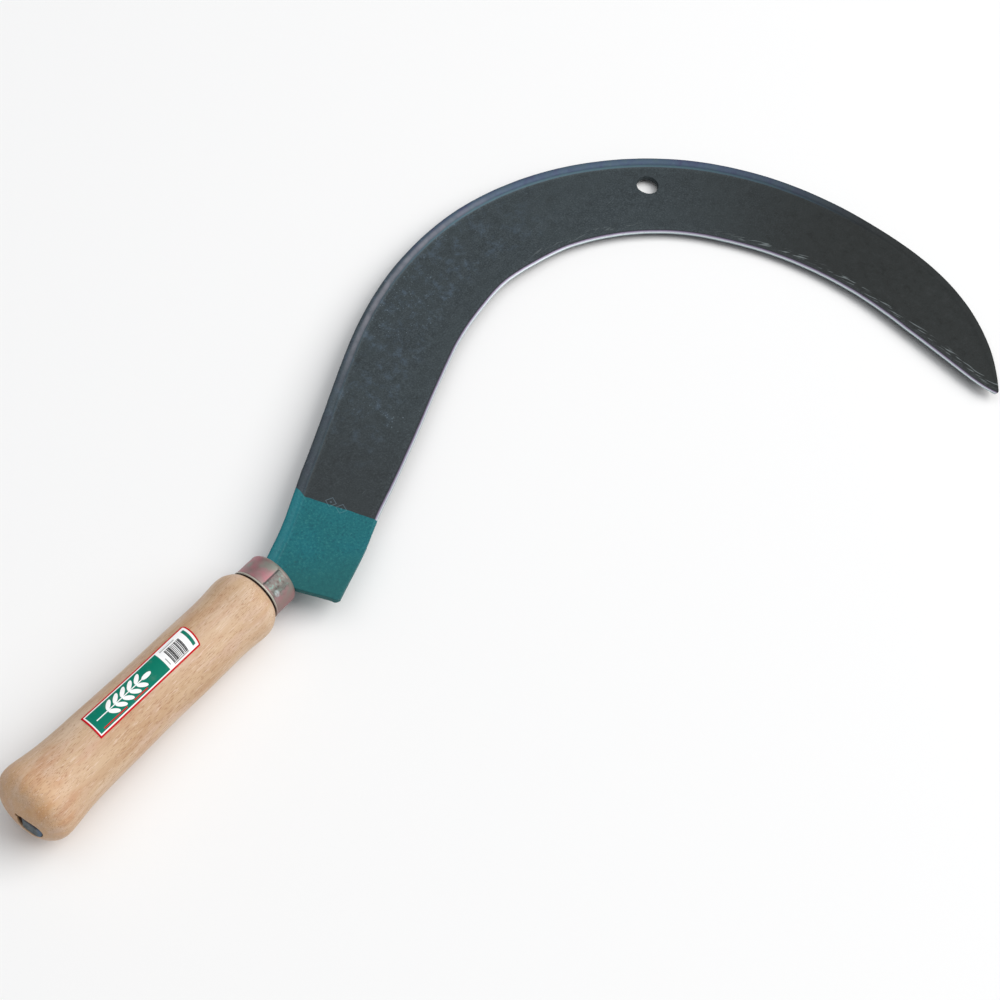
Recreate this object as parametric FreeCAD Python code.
import FreeCAD, Part
import os, math
from FreeCAD import Vector as V

# Hand sickle: a forged crescent blade with a through tang, a turned wooden
# handle, a pressed steel ferrule and a small wrapped paper label.
#
# All sizes are millimetres. The pieces are drawn in a working frame whose
# origin is the centre of the ferrule's front face, on the handle's axis, with
# +X running from the butt towards the blade, +Z square to the blade's face and
# +Y towards the back of the blade. At the end everything is moved, unturned,
# so that the origin is the bottom centre of the whole tool's box.

os.makedirs("parts", exist_ok=True)

# ---------------------------------------------------------------- dimensions
# ferrule
ferrule_r = 12.5          # outside radius of the sleeve
ferrule_len = 13.2        # along the handle
ferrule_wall = 0.9
ferrule_front_round = 1.9
bead_r = 0.55             # rolled bead on the wood side
seam_step = 0.35          # height of the lapped seam
seam_from, seam_to = -52.0, -17.0   # degrees round the handle, from +Z towards +Y
seam_x0, seam_x1 = -12.3, -2.2

# handle (x, radius), butt to neck
handle_profile = [
    (-150.0, 5.0), (-149.3, 9.6), (-147.8, 13.0), (-145.6, 15.8),
    (-143.3, 17.3), (-140.6, 18.0), (-137.0, 17.85), (-132.8, 17.3),
    (-129.1, 16.8), (-121.0, 16.12), (-113.0, 15.85), (-105.0, 15.72),
    (-96.8, 15.52), (-88.5, 15.34), (-80.1, 15.18), (-71.6, 15.15),
    (-63.0, 15.2), (-54.3, 15.2), (-45.5, 15.1), (-36.6, 15.05),
    (-31.0, 15.25), (-26.5, 15.65), (-22.8, 15.92), (-20.2, 15.8),
    (-18.0, 15.3), (-16.2, 14.4), (-14.8, 13.5), (-14.0, 12.7)]
neck_r = 11.45            # spigot under the ferrule
neck_front = -1.1
handle_gap = 0.8          # wood stands back this far from the ferrule's bead

# blade sheet
z_under = -1.5            # flat underside
tang_w0, tang_w1 = 12.0, 5.0
tang_y0, tang_y1 = -0.6, -3.2       # its middle line drifts off the axis
tang_t = 3.0
tang_clear = 0.2
tang_end_x = -146.6
# the tang's end, bent over towards -Y, spread and hammered down in a hollow
clench_y0, clench_y1 = -0.8, -11.0
clench_z = -0.4
clench_w = 9.2
clench_t = 3.2
clench_tilt = 4.0
clench_out = -150.35      # its outer face, where it leaves the tang
hollow_y0 = 1.0           # the hollow runs a little past the bend
nick_y, nick_z, nick_r = 0.5, 2.1, 1.5   # a cut corner at the hollow's end
nick_x = -148.3

hole_r = 5.5              # hanging hole
hole_x, hole_y = 307.0, 15.3

rib_w = 4.8               # raised rib along the back
bevel_w = 1.25            # ground cutting bevel

# label
label_x0, label_x1 = -109.0, -50.6
label_a0, label_a1 = -19.5, 27.0    # degrees from +Z towards +Y
label_t = 0.2

# Stations along the blade, heel to tip:
# inner edge (x, y), back edge (x, y), rib top z, face z at the rib foot,
# face z at the bevel line, z at the top of the cutting edge
stations = [
    (-9.0, -34.3, -15.0, 1.0, 3.60, 1.50, 1.50, 1.10),
    (6.0, -29.8, 1.5, 7.4, 3.60, 1.50, 1.50, 1.10),
    (20.0, -25.5, 16.0, 12.5, 3.60, 1.50, 1.45, 1.05),
    (36.5, -20.4, 30.7, 18.9, 3.60, 1.50, 1.30, 0.80),
    (53.1, -13.9, 46.1, 26.2, 3.60, 1.50, 0.70, -0.70),
    (67.7, -9.1, 59.0, 31.9, 3.60, 1.47, 0.40, -1.10),
    (82.6, -4.1, 72.6, 38.0, 3.60, 1.45, 0.20, -1.20),
    (102.9, 3.1, 88.9, 45.6, 3.60, 1.40, 0.10, -1.20),
    (123.2, 10.6, 106.6, 53.7, 3.60, 1.35, 0.00, -1.20),
    (143.5, 17.8, 127.7, 62.5, 3.60, 1.30, -0.10, -1.20),
    (164.1, 24.0, 152.4, 70.2, 3.55, 1.25, -0.15, -1.20),
    (185.6, 27.7, 176.5, 74.8, 3.50, 1.20, -0.20, -1.20),
    (204.5, 28.9, 200.5, 76.3, 3.50, 1.20, -0.20, -1.20),
    (223.7, 25.9, 222.5, 74.9, 3.45, 1.15, -0.20, -1.20),
    (242.0, 21.0, 244.5, 70.3, 3.40, 1.15, -0.20, -1.20),
    (256.5, 14.3, 268.6, 61.7, 3.35, 1.10, -0.20, -1.20),
    (268.8, 6.6, 290.2, 50.2, 3.30, 1.10, -0.20, -1.20),
    (282.5, -4.9, 313.8, 32.4, 3.25, 1.10, -0.20, -1.20),
    (294.9, -19.3, 334.2, 10.4, 3.20, 1.05, -0.20, -1.20),
    (304.8, -36.3, 349.3, -13.9, 3.10, 1.05, -0.20, -1.20),
    (313.2, -55.6, 359.8, -40.3, 2.90, 1.00, -0.20, -1.20),
    (318.9, -76.1, 365.7, -68.4, 2.55, 1.00, -0.20, -1.20),
    (321.9, -97.3, 367.3, -95.7, 2.15, 0.95, -0.25, -1.20),
    (322.0, -118.5, 365.0, -123.6, 1.75, 0.95, -0.30, -1.20),
    (320.0, -139.7, 356.1, -150.4, 1.40, 0.90, -0.35, -1.20),
    (317.7, -160.7, 341.8, -171.5, 1.15, 0.80, -0.45, -1.22),
    (316.5, -170.3, 334.1, -179.4, 1.00, 0.70, -0.55, -1.24),
    (315.7, -178.2, 327.8, -184.7, 0.80, 0.55, -0.70, -1.26),
    (315.5, -185.2, 322.4, -188.8, 0.50, 0.30, -0.85, -1.28),
    (316.0, -191.2, 317.9, -191.9, 0.10, 0.00, -1.00, -1.30)]


# ------------------------------------------------------------------- helpers
def clean(shape):
    """One solid, refined where that keeps it sound."""
    s = shape
    if s.ShapeType != "Solid" and len(s.Solids) == 1:
        s = s.Solids[0]
    try:
        r = s.removeSplitter()
        if len(r.Solids) == 1:
            r = r.Solids[0]
        if r.isValid() and abs(r.Volume - s.Volume) < 1e-3 * abs(s.Volume):
            s = r
    except Exception:
        pass
    return s


def revolve_x(points):
    """A solid of revolution about X from straight runs of (x, r)."""
    pts = [V(x, r, 0) for x, r in points]
    wire = Part.makePolygon(pts + [pts[0]])
    return Part.Face(wire).revolve(V(0, 0, 0), V(1, 0, 0), 360)


# --------------------------------------------------------------------- blade
def section(st):
    """Closed cross-section of the blade across one station, in its own
    upright plane: underside, thick back, rib, face, bevel, thin edge."""
    ix, iy, bx, by, zr, zf, zb, ze = st
    back, inner = V(bx, by, 0), V(ix, iy, 0)
    d = inner.sub(back)
    width = d.Length
    d.normalize()
    k = min(1.0, width / 24.0)
    rw = rib_w * k
    bw = bevel_w * min(1.0, width / 12.0)

    def at(dist, z):
        return V(bx + d.x * dist, by + d.y * dist, z)

    return [at(0.0, z_under), at(0.0, zf + (zr - zf) * 0.62),
            at(0.16 * rw, zr), at(0.70 * rw, zf + (zr - zf) * 0.62),
            at(rw, zf), at(width - bw, zb), at(width, ze), at(width, z_under)]


def blade_band():
    """The crescent as a shell of ruled faces between smooth edge lines."""
    rows = [section(st) for st in stations]
    n = len(rows)
    params = [0.0]
    for k in range(1, n):
        a = rows[k - 1][0].add(rows[k - 1][7]).multiply(0.5)
        b = rows[k][0].add(rows[k][7]).multiply(0.5)
        params.append(params[-1] + a.sub(b).Length)
    curves = []
    for j in range(8):
        c = Part.BSplineCurve()
        c.interpolate(Points=[r[j] for r in rows], Parameters=params)
        curves.append(c.toShape())
    faces = []
    for j in range(7):
        faces.append(Part.makeRuledSurface(curves[j], curves[j + 1]))
    first, last = rows[0], rows[-1]
    faces.append(Part.Face(Part.makePolygon(first + [first[0]])))
    faces.append(Part.Face(Part.makePolygon(last + [last[0]])))
    under = Part.Wire(Part.__sortEdges__([
        curves[0], curves[7],
        Part.makeLine(first[0], first[7]), Part.makeLine(last[0], last[7])]))
    faces.append(Part.Face(under))
    shell = Part.makeShell(faces)
    shell.sewShape()
    solid = Part.Solid(shell)
    if solid.Volume < 0:
        solid.reverse()
    return solid


def heel_keep():
    """A tall prism that holds everything of the band except what lies behind
    the ferrule's front and outside the heel's slanted, rounded end."""
    p0, p1, p2, p3 = V(0, 60, -20), V(0, -9.3, -20), V(7.1, -24.9, -20), V(9.6, -28.35, -20)
    mid = V(7.95, -27.0, -20)
    edges = [Part.makeLine(p0, p1), Part.makeLine(p1, p2),
             Part.Arc(p2, mid, p3).toShape(),
             Part.makeLine(p3, V(30, -40, -20)),
             Part.makeLine(V(30, -40, -20), V(30, -300, -20)),
             Part.makeLine(V(30, -300, -20), V(500, -300, -20)),
             Part.makeLine(V(500, -300, -20), V(500, 200, -20)),
             Part.makeLine(V(500, 200, -20), V(0, 200, -20)),
             Part.makeLine(V(0, 200, -20), p0)]
    return Part.Face(Part.Wire(edges)).extrude(V(0, 0, 40))


def bar(x0, w0, x1, w1, t, y0=0.0, y1=0.0):
    """A tapering flat bar along X."""
    wires = []
    for x, w, y in ((x0, w0, y0), (x1, w1, y1)):
        wires.append(Part.makePolygon([
            V(x, y - w / 2, -t / 2), V(x, y + w / 2, -t / 2),
            V(x, y + w / 2, t / 2), V(x, y - w / 2, t / 2), V(x, y - w / 2, -t / 2)]))
    return Part.makeLoft(wires, True, True)


def clench(extra):
    """The tang's end bent over towards -Y and hammered down on the butt; with
    an extra, the hollow in the wood that it lies in."""
    half = clench_w / 2 + extra
    t = clench_t
    y1 = clench_y1 - extra
    # drawn flat, both ends round
    b = V(0, y1 + half, -half)
    c = V(0, y1, 0)
    d = V(0, y1 + half, half)
    y0 = hollow_y0 if extra else clench_y0
    a, m, e = V(0, y0 - half * 0.6, -half), V(0, y0, 0), V(0, y0 - half * 0.6, half)
    near = Part.Arc(e, m, a).toShape()
    w = Part.Wire([Part.makeLine(a, b), Part.Arc(b, c, d).toShape(),
                   Part.makeLine(d, e), near])
    s = Part.Face(w).extrude(V(-(t + (4.0 if extra else 0.0)), 0, 0))
    s.rotate(V(0, 0, 0), V(0, 0, 1), clench_tilt)
    s.translate(V(clench_out + t + (0.15 if extra else 0.0), 0, clench_z))
    return s


blade = blade_band().common(heel_keep())
blade = clean(blade)
hole = Part.makeCylinder(hole_r, 30, V(hole_x, hole_y, -15), V(0, 0, 1))
blade = blade.cut(hole)
tang = bar(0.0, tang_w0, tang_end_x - 1.2, tang_w1, tang_t, tang_y0, tang_y1)
blade = blade.fuse(tang)
blade = blade.fuse(clench(0.0))
blade = clean(blade)

# -------------------------------------------------------------------- handle
outer = Part.BSplineCurve()
outer.interpolate([V(x, r, 0) for x, r in handle_profile])
x_b, r_b = handle_profile[0]
x_s, r_s = handle_profile[-1]
prof = Part.Wire([
    Part.makeLine(V(x_b, 0, 0), V(x_b, r_b, 0)), outer.toShape(),
    Part.makeLine(V(x_s, r_s, 0), V(x_s, neck_r, 0)),
    Part.makeLine(V(x_s, neck_r, 0), V(neck_front - 0.8, neck_r, 0)),
    Part.makeLine(V(neck_front - 0.8, neck_r, 0), V(neck_front, neck_r - 0.8, 0)),
    Part.makeLine(V(neck_front, neck_r - 0.8, 0), V(neck_front, 0, 0)),
    Part.makeLine(V(neck_front, 0, 0), V(x_b, 0, 0))])
handle = Part.Face(prof).revolve(V(0, 0, 0), V(1, 0, 0), 360)
slot = bar(0.0, tang_w0 + 2 * tang_clear, tang_end_x - 1.2, tang_w1 + 2 * tang_clear,
           tang_t + 2 * tang_clear, tang_y0, tang_y1)
handle = handle.cut(slot)
handle = handle.cut(clench(0.45))
handle = handle.cut(Part.makeCylinder(nick_r, 6.0, V(nick_x, nick_y, nick_z), V(-1, 0, 0)))
handle = clean(handle)

# ------------------------------------------------------------------- ferrule
R, L, W, F = ferrule_r, ferrule_len, ferrule_wall, ferrule_front_round


def arc_pts(cx, cr, rad, a0, a1, n):
    return [(cx + rad * math.cos(math.radians(a0 + (a1 - a0) * k / n)),
             cr + rad * math.sin(math.radians(a0 + (a1 - a0) * k / n))) for k in range(n + 1)]


ferr = []
ferr += [(0.0, 0.0)]
ferr += arc_pts(-F, R - F, F, 0, 90, 8)
ferr += [(-(L - 2.2 * bead_r), R)]
ferr += arc_pts(-(L - bead_r), R - bead_r + 0.3, bead_r, 125, 250, 8)
ferr += [(-(L - 0.9), R - W), (-W - 0.5, R - W), (-W, R - W - 0.5), (-W, 0.0)]
ferrule = revolve_x(ferr)
# the sheet's lap: a raised strip along the sleeve
lap_o = Part.makeCylinder(R + seam_step, seam_x1 - seam_x0, V(seam_x0, 0, 0), V(1, 0, 0))
lap_i = Part.makeCylinder(R - 0.2, seam_x1 - seam_x0, V(seam_x0, 0, 0), V(1, 0, 0))


def wedge(a0, a1, r, x0, x1):
    """A pie-slice prism along X between two angles from +Z towards +Y."""
    m = math.radians((a0 + a1) / 2)
    p = [V(x0, 0, 0)]
    for a in (a0, (a0 + a1) / 2, a1):
        t = math.radians(a)
        p.append(V(x0, r * math.sin(t), r * math.cos(t)))
    return Part.Face(Part.makePolygon(p + [p[0]])).extrude(V(x1 - x0, 0, 0))


lap = lap_o.cut(lap_i).common(wedge(seam_from, seam_to, 30, seam_x0 - 1, seam_x1 + 1))
ferrule = ferrule.fuse(lap)
ferrule = ferrule.cut(bar(3.0, tang_w0 + 2 * tang_clear, -6.0, tang_w0 + 2 * tang_clear,
                          tang_t + 2 * tang_clear, tang_y0, tang_y0))
ferrule = clean(ferrule)

# --------------------------------------------------------------------- label
def handle_radius(x):
    """Radius of the wood at x, from the turned profile."""
    c = outer
    lo, hi = c.FirstParameter, c.LastParameter
    for _ in range(60):
        m = (lo + hi) / 2
        if c.value(m).x < x:
            lo = m
        else:
            hi = m
    return c.value((lo + hi) / 2).y


m = 14
xs = [label_x0 + (label_x1 - label_x0) * k / m for k in range(m + 1)]
inner_c, outer_c = Part.BSplineCurve(), Part.BSplineCurve()
inner_c.interpolate([V(x, handle_radius(x) + 0.02, 0) for x in xs])
outer_c.interpolate([V(x, handle_radius(x) + 0.02 + label_t, 0) for x in xs])
ip = [handle_radius(x) + 0.02 for x in (xs[0], xs[-1])]
lw = Part.Wire([inner_c.toShape(),
                Part.makeLine(V(xs[-1], ip[1], 0), V(xs[-1], ip[1] + label_t, 0)),
                outer_c.toShape(),
                Part.makeLine(V(xs[0], ip[0] + label_t, 0), V(xs[0], ip[0], 0))])
face = Part.Face(lw)
# the profile lies in XY (r along +Y); +Y is 90 degrees from +Z
face.rotate(V(0, 0, 0), V(1, 0, 0), 90 - label_a0)
label = face.revolve(V(0, 0, 0), V(-1, 0, 0), label_a1 - label_a0)
label = clean(label)

# ------------------------------------------------------------------- placing
nodes = {"blade": blade, "handle": handle, "ferrule": ferrule, "label": label}
box = None
for s in nodes.values():
    b = s.optimalBoundingBox(True, False)
    if box is None:
        box = FreeCAD.BoundBox(b)
    else:
        box.add(b)
shift = V(-(box.XMin + box.XMax) / 2, -(box.YMin + box.YMax) / 2, -box.ZMin)
print("shift", shift, "size", box.XLength, box.YLength, box.ZLength)
for name, s in nodes.items():
    s.translate(shift)
    print(name, s.ShapeType, "valid", s.isValid(), "volume", round(s.Volume, 1),
          "solids", len(s.Solids), "faces", len(s.Faces))
    s.exportStep("parts/" + name + ".step")
for a in nodes:
    for c in nodes:
        if a < c:
            v = nodes[a].common(nodes[c]).Volume
            print("overlap", a, c, round(v, 4))
